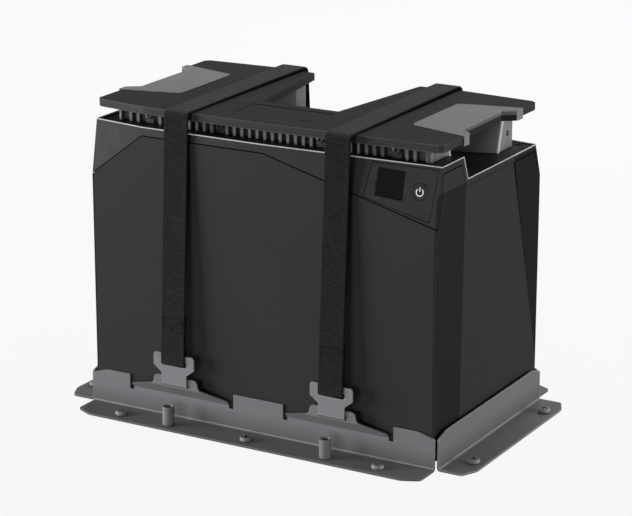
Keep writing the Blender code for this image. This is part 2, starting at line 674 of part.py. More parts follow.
def cover_outline():
    """The cover's plan: bowed long edges, cut corners, a grip recess at each end, a U behind."""
    recess = [(COVER_X, BAY_Y - 62.04), (208.5, BAY_Y - 51.04), (208.5, BAY_Y + 51.04),
              (COVER_X, BAY_Y + 62.04)]
    front_bow = [(-155.0, -127.5), (6.0, -127.5)]
    half = [(COVER_X - 5.5, -COVER_Y - 1.0), (COVER_X, -COVER_Y + 4.5), *recess,
            (COVER_X, COVER_Y - 4.5), (COVER_X - 5.5, COVER_Y), (129, 125.0), (71.5, COVER_Y + 2),
            (50, BRIDGE_Y)]
    return [*front_bow, *mirrored(half)]


def build_cover():
    """The cover plate, its hatch lid and the two grip caps."""
    hinge_y, hinge_z = HATCH_AXIS
    body = prism(cover_outline(), "Z", COVER_BOTTOM, COVER_TOP)
    edge = HATCH_X + GAP
    rebate = box((-edge, edge), (HATCH_FRONT - GAP, hinge_y + 2.6), (HATCH_BOTTOM - GAP, 370))
    opening = box((5 - HATCH_X, HATCH_X - 5), (HATCH_FRONT + 5, hinge_y + 2.6), (350, 362))
    pins = disc((0, *HATCH_AXIS), 1.95, -HATCH_X - 3.8, HATCH_X + 3.8, (1, 0, 0), 16)
    groove = box((-edge, edge), (hinge_y - 3, hinge_y + 2.6), (hinge_z - 2.8, 370))
    piece(cut(body, rebate, opening, groove, pins), "top_cover", "cover_plastic")

    end = arc(HATCH_AXIS, HATCH_TOP - hinge_z, -55, 90, 5)
    lid = prism([*end, (HATCH_FRONT, HATCH_TOP), (HATCH_FRONT, HATCH_BOTTOM)], "X", -HATCH_X, HATCH_X)
    lid = join(lid, disc((0, *HATCH_AXIS), 1.6, -HATCH_X - 3.5, HATCH_X + 3.5, (1, 0, 0), 16))
    finger = box((31, 48), (HATCH_FRONT - 1, HATCH_FRONT + 2.4), (350, 370))
    piece(cut(lid, finger), "hatch_lid", "cover_plastic", origin=(0, *HATCH_AXIS))

    for side, sign in (("left", -1), ("right", 1)):
        edge = [(226, -74), (226, -61), (210.5, -50), (210.5, 50), (226, 61), (226, 74)]
        plate = softened([(152, -56), *edge, (152, 56)], (7, 2, 4, 0, 0, 4, 2, 7))
        inner = [(224.3, 74), (224.3, 61.88), (208.8, 50.88), (208.8, -50.88), (224.3, -61.88),
                 (224.3, -74)]
        skirt = softened([*edge, *inner], (0, 4, 0, 0, 4, 0, 0, 0, 0, 0, 0, 0))
        top, low, under = COVER_TOP + 1.3, COVER_BOTTOM - 2.0, COVER_TOP + GAP
        shapes = [prism([(sign * x, BAY_Y + y) for x, y in outline], "Z", bottom, top)
                  for outline, bottom in ((plate, under), (skirt, low))]
        piece(join(*shapes), f"grip_cap_{side}", "grip_plastic")


# --- Inside -------------------------------------------------------------------------------------

def build_cells():
    """Cells in a row between two end plates, under a tray that carries the control board."""
    width, depth, height = CELL
    top = CELL_Z + height
    first = -CELL_PITCH * (CELL_COUNT - 1) / 2
    for index in range(CELL_COUNT):
        x = first + index * CELL_PITCH
        body = box((x - width / 2, x + width / 2), (-depth / 2, depth / 2), (CELL_Z, top))
        poles = [disc((x, y, top), 8, -1, 3, segments=12) for y in (-60, 60)]
        vent = disc((x, 0, top), 10, -1, 0.8, segments=12)
        piece(join(body, *poles, vent), f"cell_{index + 1}", "cell_blue")

    near = CELL_PITCH * CELL_COUNT / 2 + GAP
    profile = [(near, CELL_Z), (near + 3.6, CELL_Z)]
    for rib in range(6):
        z = CELL_Z + 15 + rib * 32
        profile += [(near + 3.6, z), (near + 2.0, z + 2), (near + 2.0, z + 16), (near + 3.6, z + 18)]
    profile += [(near + 3.6, top), (near, top)]
    for side, sign in (("left", -1), ("right", 1)):
        plate = prism([(sign * x, z) for x, z in profile], "Y", -depth / 2, depth / 2)
        piece(plate, f"end_plate_{side}", "cast_aluminium")

    tray_z = top + 3.5
    tray = box((-208, 208), (-80, 80), (tray_z, tray_z + 3))
    bars = [box((x - 36, x + 36), (y - 10, y + 10), (tray_z + 2, tray_z + 6))
            for x in (-161, -54, 54, 161) for y in (-60, 60)]
    posts = [disc((x, y, tray_z), 4, 2, 24, segments=12) for x in (-140, 140) for y in (-36, 36)]
    piece(join(tray, *bars, *posts), "busbar_tray", "tray_white")

    board_z = tray_z + 24 + GAP
    board = box((-150, 150), (-46, 46), (board_z, board_z + 1.6))
    parts = [box((x - 14, x + 14), (-30, 8), (board_z + 1, board_z + 14)) for x in (-100, -60, -20, 20)]
    relay = box((70, 130), (-30, 20), (board_z + 1, board_z + 30))
    piece(join(board, *parts, relay), "control_board", "board_green")


def clear_scene():
    """Remove whatever the scene holds."""
    for item in list(bpy.data.objects):
        bpy.data.objects.remove(item)


clear_scene()
build_rails()
build_straps()
build_casing()
build_housing()
build_cover()
build_cells()
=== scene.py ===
"""Looks of a battery pack strapped inside its floor frame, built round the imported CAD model.

Lengths are in metres in the model's own frame: origin on the floor under the middle of the pack,
+X to the right along the front, +Y to the back, +Z up. Only the camera's LENS_MM and SENSOR_MM are
in millimetres.
"""
import math

import bmesh
import bpy
from mathutils import Matrix, Vector


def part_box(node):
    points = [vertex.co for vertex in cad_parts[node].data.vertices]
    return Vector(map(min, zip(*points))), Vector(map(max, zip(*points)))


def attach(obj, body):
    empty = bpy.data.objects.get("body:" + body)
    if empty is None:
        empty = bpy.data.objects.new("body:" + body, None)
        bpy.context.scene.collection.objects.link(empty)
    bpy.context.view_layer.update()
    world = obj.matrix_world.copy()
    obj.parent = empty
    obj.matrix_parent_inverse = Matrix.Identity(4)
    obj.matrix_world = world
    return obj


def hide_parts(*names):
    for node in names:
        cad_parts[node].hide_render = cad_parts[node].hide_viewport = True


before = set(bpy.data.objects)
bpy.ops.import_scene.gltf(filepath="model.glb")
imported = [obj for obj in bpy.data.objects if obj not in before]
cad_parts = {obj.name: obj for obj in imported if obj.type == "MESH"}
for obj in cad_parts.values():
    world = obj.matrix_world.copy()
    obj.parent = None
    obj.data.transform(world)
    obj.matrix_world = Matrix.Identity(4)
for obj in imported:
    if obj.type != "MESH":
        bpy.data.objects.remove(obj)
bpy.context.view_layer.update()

PACK = "pack"  # the root body

# Camera: the place, heading and tilt of the product shot
CAMERA_PLACE = (1.38822, -2.42005, 1.02773)
CAMERA_HEADING, CAMERA_TILT = 29.85, -16.95
LENS_MM, SENSOR_MM = 141.5, 36.0

# Light
BACKDROP = 0.93  # radiance of the backdrop and of the floor round the pack
FLOOR_SIZE = 12.0

# Places repeated from the part's source, because a node's box doesn't give them. As there, heights
# are drawn from the upper face of the rails' flanges, which is FLANGE above the floor.
FLANGE = 0.0025
HOOK_Y, HOOK_SHEET, HOOK_BAR = -0.1485, 0.0025, 0.0732
BUCKLE_Y, BUCKLE_TOP = -0.1434, 0.1532
WEB = 0.002
RIM_Z, LOW_RIM_Z, RIM_DROP = 0.3417, 0.3147, (-0.06825, -0.05725)
CASE_X, CASE_Y = 0.2243, 0.13175
FRONT_SEAM = ((-CASE_X, 0.2785), (-0.155, 0.3315), (0.006, 0.3315), (CASE_X, 0.274))
BACK_SEAM = ((-CASE_X, 0.277), (-0.150, 0.3047), (0.150, 0.3047), (CASE_X, 0.277))
FRONT_LEAN, BACK_LEAN = 0.185, 0.36
BOSS_X, BOSS_Z, BOSS_SETBACK = (0.0655, 0.161), 0.3505, 0.003
BAY_Y, POST_END = 0.00325, 0.204  # middle of the end bays, and x of the posts' end faces
BAY_EDGE = (0.0565, 0.3143, 0.0680, 0.3562)  # half width and height of a bay's outer edges, low and high
GRIP_END, GRIP_TOP = 0.226, 0.3693  # x of the grip caps' ears, and the caps' top above the floor
FLOOR_SCREW_RADIUS = 0.00725
STANDOFF_BORE = 0.0054
GAP_SHADE_START, GAP_SHADE_END = 0.0012, 0.0022  # how far the painted shade of the gap round the hatch reaches
DEEP_SHADE_DROP = 0.0052  # from a grip cap's top down to where the painted shade in its hand recess turns darkest
BAY_INNER, BAY_LIT, BAY_DARK = 0.150, 0.198, 0.60  # x where the painted shade in a bay is darkest and where it fades out, and how dark it is at most
BAY_PAINTED_LIGHT = (0.176, 0.200)  # x between which a bay's back wall is painted lighter: painted light falling deep into the bay
BOSS_HALF, RIBS_BACK = 0.0060, -0.094  # half width of a boss, and y behind the row of ribs
HOUSING_GAP_SHADE = 0.45  # how much of the housing's colour is left under the painted shade in narrow places
FACET_TOP = 0.312  # height where the side facets meet the collar
STRAP_TOP = (-0.135, 0.367)  # y, z where the strap turns from the front onto the cover
PIVOT = (0.1536, 0.190)  # y, z of the cam levers' pins


# --- Materials --------------------------------------------------------------------------------

class Finish:
    """A material under construction: short calls for the nodes that the finishes share."""

    def __init__(self, name, roughness, metallic=0.0, specular=0.5, coat=0.0):
        self.material = bpy.data.materials.new(name)
        self.material.use_nodes = True
        self.tree = self.material.node_tree
        self.shader = self.tree.nodes["Principled BSDF"]
        self.shader.inputs["Roughness"].default_value = roughness
        self.shader.inputs["Metallic"].default_value = metallic
        self.shader.inputs["Specular IOR Level"].default_value = specular
        self.shader.inputs["Coat Weight"].default_value = coat
        self.place = self.add("ShaderNodeTexCoord").outputs["Object"]

    def add(self, kind, **settings):
        node = self.tree.nodes.new(kind)
        for key, value in settings.items():
            setattr(node, key, value)
        return node

    def feed(self, socket, value):
        if isinstance(value, bpy.types.NodeSocket):
            self.tree.links.new(value, socket)
        else:
            socket.default_value = value

    def maths(self, operation, first, second=0.0):
        node = self.add("ShaderNodeMath", operation=operation)
        self.feed(node.inputs[0], first)
        self.feed(node.inputs[1], second)
        return node.outputs[0]

    def both(self, first, *others):
        """Product of masks: 1 only where each of them is."""
        for other in others:
            first = self.maths("MULTIPLY", first, other)
        return first

    def away(self, value, middle=0.0):
        """How far the value is from a middle."""
        return self.maths("ABSOLUTE", self.maths("SUBTRACT", value, middle) if middle else value)

    def axis(self, letter):
        """One of the point's own coordinates."""
        node = self.add("ShaderNodeSeparateXYZ")
        self.feed(node.inputs[0], self.place)
        return node.outputs[letter]

    def noise(self, size, detail=2.0, stretch=(1, 1, 1)):
        """Noise with features of about that size in metres, drawn out along an axis by stretch."""
        mapping = self.add("ShaderNodeMapping")
        self.feed(mapping.inputs["Vector"], self.place)
        mapping.inputs["Scale"].default_value = [1 / value for value in stretch]
        node = self.add("ShaderNodeTexNoise")
        self.feed(node.inputs["Vector"], mapping.outputs[0])
        node.inputs["Scale"].default_value = 1 / size
        node.inputs["Detail"].default_value = detail
        return node.outputs["Fac"]

    def span(self, value, low, high, start=0.0, end=1.0):
        """The value's range from low to high, spread from start to end and held at both."""
        node = self.add("ShaderNodeMapRange")
        self.feed(node.inputs["Value"], value)
        for name, number in (("From Min", low), ("From Max", high), ("To Min", start),
                             ("To Max", end)):
            node.inputs[name].default_value = number
        return node.outputs[0]

    def blend(self, factor, first, second, kind="MIX"):
        """Colour between two colours, each a socket or three numbers."""
        node = self.add("ShaderNodeMix", data_type="RGBA", blend_type=kind)
        self.feed(node.inputs["Factor"], factor)
        for name, colour in (("A", first), ("B", second)):
            socket = next(s for s in node.inputs if s.name == name and s.type == "RGBA")
            self.feed(socket, (*colour, 1.0) if isinstance(colour, tuple) else colour)
        return next(s for s in node.outputs if s.type == "RGBA")

    def edges(self, radius):
        """1 where the surface turns a corner, 0 where it is flat."""
        bevel = self.add("ShaderNodeBevel", samples=4)
        bevel.inputs["Radius"].default_value = radius
        here = self.add("ShaderNodeNewGeometry")
        turned = self.agree(bevel.outputs[0], here.outputs["Normal"])
        rounded = self.agree(here.outputs["True Normal"], here.outputs["Normal"])
        return self.maths("MAXIMUM", self.span(turned, 0.985, 0.85), self.span(rounded, 0.9995, 0.990))

    def agree(self, first, second):
        """Cosine of the angle between two directions."""
        dot = self.add("ShaderNodeVectorMath", operation="DOT_PRODUCT")
        self.feed(dot.inputs[0], first)
        self.feed(dot.inputs[1], second)
        return dot.outputs["Value"]

    def upward(self, low, high):
        """0 where the surface's slope is below low, 1 where it faces up more than high."""
        return self.span(self.agree(self.add("ShaderNodeNewGeometry").outputs["True Normal"], (0, 0, 1)),
                         low, high)

    def occlusion_shade(self, reach, dark):
        """Painted shade: 1 in the open, down to dark inside gaps and recesses narrower than the reach."""
        occlusion = self.add("ShaderNodeAmbientOcclusion", samples=6)
        occlusion.inputs["Distance"].default_value = reach
        return self.span(occlusion.outputs["AO"], 0.25, 0.75, dark, 1.0)

    def bump(self, height, depth, strength=1.0):
        node = self.add("ShaderNodeBump")
        node.inputs["Strength"].default_value = strength
        node.inputs["Distance"].default_value = depth
        self.feed(node.inputs["Height"], height)
        self.feed(self.shader.inputs["Normal"], node.outputs[0])

    def finish(self, colour, roughness=None):
        self.feed(self.shader.inputs["Base Color"], colour)
        if roughness is not None:
            self.feed(self.shader.inputs["Roughness"], roughness)
        return self.material


def shade(colour, by):
    """A colour made lighter or darker."""
    return tuple(value * by for value in colour)


def cover_finish(name, colour):
    """The cover's moulded plastic: fine grain, a painted highlight along the front edge, and painted shade in
    the gap round the hatch and in narrow recesses.
    """
    look = Finish(name, 0.45, specular=0.22)
    cloud = look.blend(look.span(look.noise(0.06), 0.35, 0.65), shade(colour, 0.95), shade(colour, 1.05))
    speck = look.blend(look.span(look.noise(0.0006, 1), 0.3, 0.7), shade(colour, 0.93),
                       shade(colour, 1.07))
    base = look.blend(0.5, cloud, speck)
    low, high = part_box("hatch_lid")
    x, y, z = look.away(look.axis("X")), look.axis("Y"), look.axis("Z")
    edge = look.edges(0.0020)
    # Painted highlight along the cover's front edge.
    painted_edge_highlight = look.both(edge, look.span(y, low.y - 0.004, low.y - 0.006),
                       look.span(look.noise(0.02, 4), 0.3, 0.7, 0.6))
    base = look.blend(painted_edge_highlight, base, shade(colour, 3.2))
    # Painted shade beside the gap round the hatch, and on the rebate's floor below the top.
    beside = look.both(look.span(y, low.y - GAP_SHADE_END, low.y - GAP_SHADE_START),
                       look.span(y, high.y + GAP_SHADE_END, high.y + GAP_SHADE_START),
                       look.span(x, high.x + GAP_SHADE_END, high.x + GAP_SHADE_START))
    below = look.span(z, high.z - 0.0009, high.z - 0.0012)
    hatch_gap_shade = look.both(beside, look.maths("MAXIMUM", below, look.both(edge, 0.7)))
    base = look.blend(hatch_gap_shade, base, shade(colour, 0.1))
    look.bump(look.noise(0.0006, 2), 0.00004)
    # Painted shade in narrow gaps and recesses.
    return look.finish(look.blend(look.occlusion_shade(0.006, 0.15), shade(colour, 0.05), base),
                       look.span(look.noise(0.012, 3), 0.3, 0.7, 0.41, 0.49))


def grip_finish(name, colour):
    """The grip caps' grey plastic, with a painted highlight on its edges and painted shade inside the hand
    recess, darkest low down there.
    """
    look = Finish(name, 0.45, specular=0.3)
    speck = look.blend(look.span(look.noise(0.0007, 1), 0.3, 0.7), shade(colour, 0.93),
                       shade(colour, 1.07))
    base = look.blend(look.span(look.noise(0.03), 0.35, 0.65), speck, shade(colour, 0.96))
    # Painted highlight on the edges.
    base = look.blend(look.edges(0.0012), base, shade(colour, 1.15))
    inside = look.maths("LESS_THAN", look.away(look.axis("X")), GRIP_END - 0.0012)
    z = look.axis("Z")
    # Painted shade down the upper part of the hand recess's inner wall.
    painted_recess_shade = look.both(inside, look.span(z, GRIP_TOP - 0.0012, GRIP_TOP - 0.0022, 0.0, 0.6))
    base = look.blend(painted_recess_shade, base, shade(colour, 0.22))
    # Painted shade, darkest, lower down in the hand recess.
    painted_deep_shade = look.both(inside, look.span(z, GRIP_TOP - DEEP_SHADE_DROP, GRIP_TOP - DEEP_SHADE_DROP - 0.0004))
    deep_shade_tone = look.blend(look.noise(0.0008, 2), (0.018, 0.018, 0.019), (0.030, 0.030, 0.032))
    look.bump(look.noise(0.0007, 2), 0.00005)
    return look.finish(look.blend(painted_deep_shade, base, deep_shade_tone),
                       look.span(look.noise(0.012, 3), 0.3, 0.7, 0.42, 0.52))


def housing_finish(name, colour):
    """Cast aluminium with painted shade in narrow gaps, deep in the end bays, up under the cover and on the
    screw bosses, and painted light on the bays' back walls near the posts.
    """
    look = Finish(name, 0.48, metallic=0.35)
    base = look.blend(look.span(look.noise(0.0008, 3), 0.3, 0.7), shade(colour, 0.88), shade(colour, 1.1))
    base = look.blend(look.span(look.noise(0.02, 3), 0.4, 0.75), base, shade(colour, 0.85))
    # Painted shade in narrow gaps.
    base = look.blend(look.occlusion_shade(0.020, HOUSING_GAP_SHADE), shade(colour, 0.08), base)
    x, z = look.away(look.axis("X")), look.axis("Z")
    in_bay = look.both(look.maths("LESS_THAN", x, POST_END - 0.0002),
                       look.maths("LESS_THAN", look.away(look.axis("Y"), BAY_Y), 0.070))
    lean = look.both(look.maths("SUBTRACT", z, BAY_EDGE[1] + FLANGE), 0.35)
    outward = look.maths("SUBTRACT", x, lean)
    # Painted shade deep in the end bays.
    shaded = look.both(in_bay, look.span(outward, BAY_INNER, BAY_LIT, BAY_DARK, 0.0))
    # Painted light on a bay's back wall near the post.
    base = look.blend(look.both(in_bay, look.span(outward, *BAY_PAINTED_LIGHT)), base, shade(colour, 1.8))
    front = look.maths("LESS_THAN", look.axis("Y"), RIBS_BACK)
    # Painted shade up under the cover and on the screw bosses.
    shade_marks = [look.span(z, 0.3415, 0.3600, 0.0, 0.65)]
    for place in BOSS_X:
        shade_marks.append(look.both(look.span(look.away(x, place), BOSS_HALF + 0.0002, BOSS_HALF), 0.8))
    for shade_mark in shade_marks:
        shaded = look.maths("MAXIMUM", shaded, look.both(front, shade_mark))
    look.bump(look.noise(0.0008, 3), 0.00006)
    return look.finish(look.blend(shaded, base, shade(colour, 0.10)),
                       look.span(look.noise(0.008, 4), 0.3, 0.7, 0.40, 0.56))


def casing_plastic(name, colour):
    """The casing's plastic, with painted shade in its seams and narrow gaps and on the front and rear facets
    of each side, and a painted highlight along the corner edges at its ends.
    """
    look = Finish(name, 0.46, specular=0.12)
    x, y = look.away(look.axis("X")), look.axis("Y")
    z = look.maths("SUBTRACT", look.axis("Z"), FLANGE)
    on_side = look.maths("GREATER_THAN", x, CASE_X - 0.0022)
    low = look.maths("LESS_THAN", z, LOW_RIM_Z - 0.0025)
    rise = look.maths("SUBTRACT", z, FACET_TOP)
    front_edge = look.maths("SUBTRACT", look.both(rise, 0.0235), 0.0615)
    front = look.span(look.maths("SUBTRACT", front_edge, y), -0.0004, 0.0004)
    rear_edge = look.maths("SUBTRACT", 0.061, look.both(rise, 0.2706))
    rear = look.span(look.maths("SUBTRACT", y, rear_edge), -0.0004, 0.0004)
    # Painted shade on the front and rear facets of each side.
    facet_shade = look.both(look.maths("ADD", look.both(front, 0.68), look.both(rear, 0.82)), on_side, low)
    cloud = look.blend(look.span(look.noise(0.09), 0.35, 0.65), shade(colour, 0.96), shade(colour, 1.04))
    base = look.blend(look.span(look.noise(0.0006, 1), 0.3, 0.7), cloud, shade(colour, 1.05))
    base = look.blend(facet_shade, base, shade(colour, 0.25))
    corner = look.both(look.maths("GREATER_THAN", x, CASE_X - 0.003),
                       look.maths("LESS_THAN", z, FRONT_SEAM[3][1] - 0.002))
    # Painted shade along seams and edges, less at the corners.
    seam = look.both(look.edges(0.0010), look.maths("SUBTRACT", 0.8, corner))
    base = look.blend(seam, base, shade(colour, 0.1))
    # Painted highlight along the corner edges.
    painted_edge_highlight = look.both(look.edges(0.0008), look.span(look.noise(0.02, 4), 0.3, 0.7, 0.6), corner)
    base = look.blend(painted_edge_highlight, base, shade(colour, 2.4))
    look.bump(look.noise(0.0005, 2), 0.00003)
    # Painted shade in narrow gaps.
    return look.finish(look.blend(look.occlusion_shade(0.003, 0.15), shade(colour, 0.02), base),
                       look.span(look.noise(0.015, 3), 0.3, 0.7, 0.42, 0.50))


def powder_coat(name, colour):
    """Powder-coated sheet: orange-peel surface and fine fleck, a painted highlight along its edges and bends,
    and painted shade on the flanges' upper faces and low down on the walls.
    """
    look = Finish(name, 0.5, specular=0.4)
    fleck = look.blend(look.span(look.noise(0.0009, 2), 0.35, 0.65), shade(colour, 0.92),
                       shade(colour, 1.08))
    base = look.blend(look.span(look.noise(0.05, 3), 0.3, 0.7), fleck, shade(colour, 0.97))
    # Painted shade on the flanges' upper faces, stronger on the side flanges.
    flange_shade = look.both(look.upward(0.5, 0.95), look.span(look.axis("Z"), 0.006, 0.005))
    beside = look.span(look.away(look.axis("X")), 0.2345, 0.2365, 0.22, 0.42)
    base = look.blend(look.both(flange_shade, beside), base, shade(colour, 0.35))
    # Painted shade low down on the walls, darker towards the bend.
    wall_shade = look.both(look.span(look.axis("Z"), 0.026, 0.003), look.upward(0.5, 0.3))
    base = look.blend(look.both(wall_shade, 0.55), base, shade(colour, 0.25))
    look.bump(look.noise(0.0018, 2), 0.00008)
    # Painted highlight along edges and bends.
    return look.finish(look.blend(look.edges(0.0009), base, shade(colour, 1.55)),
                       look.span(look.noise(0.004, 2), 0.3, 0.7, 0.44, 0.56))


def bare_metal(name, colour, roughness, size=0.0008, depth=0.00003, metallic=0.85, edge_shading=1.6):
    """Cast, turned or plated metal with a grain, stains in its gloss, edges painted lighter (partly wear,
    partly a painted highlight) and painted shade in narrow gaps.
    """
    look = Finish(name, roughness, metallic=metallic)
    base = look.blend(look.span(look.noise(size, 3), 0.3, 0.7), shade(colour, 0.88), shade(colour, 1.1))
    base = look.blend(look.span(look.noise(0.02, 3), 0.4, 0.75), base, shade(colour, 0.85))
    look.bump(look.noise(size, 3), depth)
    # Edges painted lighter: partly wear, partly a painted highlight.
    wear_and_highlight = look.blend(look.edges(0.0006), base, shade(colour, edge_shading))
    # Painted shade in narrow gaps.
    return look.finish(look.blend(look.occlusion_shade(0.006, 0.1), shade(colour, 0.05), wear_and_highlight),
                       look.span(look.noise(0.008, 4), 0.3, 0.7, roughness - 0.08, roughness + 0.08))


def glossy(name, colour, roughness, coat, border=0.0003, edge_shading=1.2):
    """Lacquered or glass-fronted black with faint smears in its gloss. A factor above 1 paints a highlight on
    its edges, one below 1 paints shade there.
    """
    look = Finish(name, roughness, specular=0.5, coat=coat)
    base = look.blend(look.span(look.noise(0.03, 3), 0.3, 0.7), shade(colour, 0.9), shade(colour, 1.1))
    look.bump(look.noise(0.02, 2), 0.00002)
    return look.finish(look.blend(look.edges(border), base, shade(colour, edge_shading)),
                       look.span(look.noise(0.01, 5), 0.35, 0.7, roughness, roughness + 0.1))


def webbing(name, colour):
    """Woven polyester: floats of yarn in offset rows across the strap, dense selvedges, and a painted sheen
    on the faces that look up.
    """
    look = Finish(name, 0.8, specular=0.25)
    look.shader.inputs["Sheen Weight"].default_value = 0.12
    look.shader.inputs["Sheen Roughness"].default_value = 0.5
    woven = look.add("ShaderNodeUVMap", uv_map="weave")
    brick = look.add("ShaderNodeTexBrick", offset=0.5)
    look.feed(brick.inputs["Vector"], woven.outputs[0])
    for key, value in (("Scale", 1.0), ("Mortar Size", 0.00044), ("Mortar Smooth", 1.0),
                       ("Brick Width", 0.0040), ("Row Height", 0.0029), ("Bias", 0.0)):
        brick.inputs[key].default_value = value
    brick.inputs["Color1"].default_value = (*shade(colour, 0.7), 1.0)
    brick.inputs["Color2"].default_value = (*shade(colour, 1.9), 1.0)
    brick.inputs["Mortar"].default_value = (*shade(colour, 0.02), 1.0)
    along = look.add("ShaderNodeSeparateXYZ")
    look.feed(along.inputs[0], woven.outputs[0])
    rib = look.add("ShaderNodeTexWave", wave_type="BANDS", bands_direction="Y")
    look.feed(rib.inputs["Vector"], woven.outputs[0])
    rib.inputs["Scale"].default_value = math.tau / 20 / 0.0029
    rib.inputs["Distortion"].default_value = 0.4
    height = look.maths("SUBTRACT", look.both(rib.outputs["Fac"], 0.5), brick.outputs["Fac"])
    fuzz = look.blend(look.span(look.noise(0.0007, 3), 0.3, 0.7), shade(colour, 0.8), shade(colour, 1.3))
    edge = look.span(look.away(along.outputs["X"]), 0.0148, 0.0152)
    base = look.blend(0.15, brick.outputs["Color"], fuzz)
    # Painted sheen on the faces that look up.
    top_sheen = look.blend(brick.outputs["Fac"], shade(colour, 6.6), shade(colour, 1.5))
    base = look.blend(look.upward(0.3, 0.95), base, top_sheen)
    look.bump(height, 0.0007)
    return look.finish(look.blend(edge, base, shade(colour, 0.8)),
                       look.span(look.noise(0.003, 2), 0.3, 0.7, 0.72, 0.9))


def rubber(name, colour):
    """Moulded rubber with a dusty bloom."""
    look = Finish(name, 0.8, specular=0.3)
    base = look.blend(look.span(look.noise(0.004, 4), 0.4, 0.7), colour, shade(colour, 1.8))
    look.bump(look.noise(0.0012, 3), 0.0001)
    return look.finish(base, look.span(look.noise(0.003, 2), 0.3, 0.7, 0.7, 0.9))


def cell_film(name, colour):
    """A cell's shrink film, with its bare aluminium lid and poles above the film's edge."""
    look = Finish(name, 0.35, specular=0.5)
    film = look.blend(look.span(look.noise(0.03, 3), 0.3, 0.7), shade(colour, 0.85), shade(colour, 1.15))
    metal = look.blend(look.noise(0.0006, 3, (6, 1, 1)), (0.42, 0.42, 0.43), (0.6, 0.6, 0.61))
    above = look.span(look.axis("Z"), 0.2157, 0.2161)
    look.bump(look.noise(0.006, 3), 0.0001)
    look.feed(look.shader.inputs["Metallic"], above)
    return look.finish(look.blend(above, film, metal), look.span(look.noise(0.01, 3), 0.3, 0.7, 0.28, 0.42))


def tray_finish(name, colour):
    """The busbar tray: pale moulding below, nickel-plated copper bars on top."""
    look = Finish(name, 0.5, specular=0.4)
    plastic = look.blend(look.span(look.noise(0.02, 3), 0.3, 0.7), shade(colour, 0.92), shade(colour, 1.04))
    bar = look.blend(look.noise(0.0005, 3, (12, 1, 1)), (0.62, 0.36, 0.20), (0.75, 0.46, 0.28))
    z = look.axis("Z")
    level = look.both(look.span(z, 0.2242, 0.2244), look.span(z, 0.2272, 0.2275, 1, 0))
    look.bump(look.noise(0.001, 2), 0.00005)
    look.feed(look.shader.inputs["Metallic"], level)
    return look.finish(look.blend(level, plastic, bar), look.span(look.noise(0.004, 2), 0.3, 0.7, 0.35, 0.55))


def board_finish(name, colour):
    """A circuit board with its solder mask and tracks, and dark component bodies above it."""
    look = Finish(name, 0.45, specular=0.5)
    tracks = look.add("ShaderNodeTexBrick", offset=0.35)
    look.feed(tracks.inputs["Vector"], look.place)
    for key, value in (("Scale", 1.0), ("Mortar Size", 0.0004), ("Mortar Smooth", 0.1),
                       ("Brick Width", 0.009), ("Row Height", 0.003)):
        tracks.inputs[key].default_value = value
    mask = look.blend(tracks.outputs["Fac"], shade(colour, 0.8), shade(colour, 2.2))
    body = look.blend(look.noise(0.0008, 2), (0.012, 0.012, 0.013), (0.03, 0.03, 0.032))
    above = look.span(look.axis("Z"), 0.2471, 0.2474)
    look.bump(tracks.outputs["Fac"], 0.00005)
    return look.finish(look.blend(above, mask, body), look.span(look.noise(0.004, 2), 0.3, 0.7, 0.35, 0.5))


def glowing_line(name, colour, glow):
    """A white line that glows a little though it is no lamp: painted light."""
    look = Finish(name, 0.3, specular=0.6)
    look.shader.inputs["Emission Color"].default_value = (1, 1, 1, 1)
    look.shader.inputs["Emission Strength"].default_value = glow
    base = look.blend(look.span(look.noise(0.01, 3), 0.3, 0.7), shade(colour, 0.85), shade(colour, 1.1))
    look.bump(look.noise(0.001, 2), 0.00002)
    return look.finish(base, look.span(look.noise(0.01, 3), 0.3, 0.7, 0.22, 0.38))


LOOKS = {
    "graphite_plastic": casing_plastic("graphite_plastic", (0.048, 0.0475, 0.050)),
    "cover_plastic": cover_finish("cover_plastic", (0.054, 0.053, 0.057)),
    "grip_plastic": grip_finish("grip_plastic", (0.335, 0.331, 0.343)),
    # Edges painted lighter: a painted highlight.
    "gloss_black": glossy("gloss_black", (0.006, 0.006, 0.007), 0.12, 0.1),
    # Edges painted darker: painted shade in the gap round the panel.
    "gloss_panel": glossy("gloss_panel", (0.033, 0.033, 0.034), 0.3, 0.0, 0.0012, 0.2),
    "cast_aluminium": housing_finish("cast_aluminium", (0.375, 0.373, 0.380)),
    "powder_grey": powder_coat("powder_grey", (0.250, 0.244, 0.260)),
    "zinc_steel": bare_metal("zinc_steel", (0.31, 0.305, 0.32), 0.6, metallic=0.25, edge_shading=1.3),
    "hook_grey": powder_coat("hook_grey", (0.305, 0.298, 0.317)),
    "webbing_black": webbing("webbing_black", (0.0100, 0.0100, 0.0104)),
    "rubber_black": rubber("rubber_black", (0.02, 0.02, 0.02)),
    "cell_blue": cell_film("cell_blue", (0.04, 0.10, 0.26)),
    "board_green": board_finish("board_green", (0.02, 0.12, 0.05)),
    "tray_white": tray_finish("tray_white", (0.6, 0.6, 0.58)),
}
# Near white and glowing a little: painted highlights on the rim and the bays' edges.
HIGHLIGHT_LINE = glowing_line("highlight_line", (0.62, 0.62, 0.635), 0.13)
# White print that glows a little: painted light.
GLOWING_PRINT = glowing_line("print_white", (0.86, 0.86, 0.87), 0.35)
CONTACT = bare_metal("contact_gold", (0.70, 0.50, 0.22), 0.25)
DARK_SCREW = bare_metal("dark_screw", (0.16, 0.16, 0.165), 0.35)


# --- Mesh helpers -----------------------------------------------------------------------------

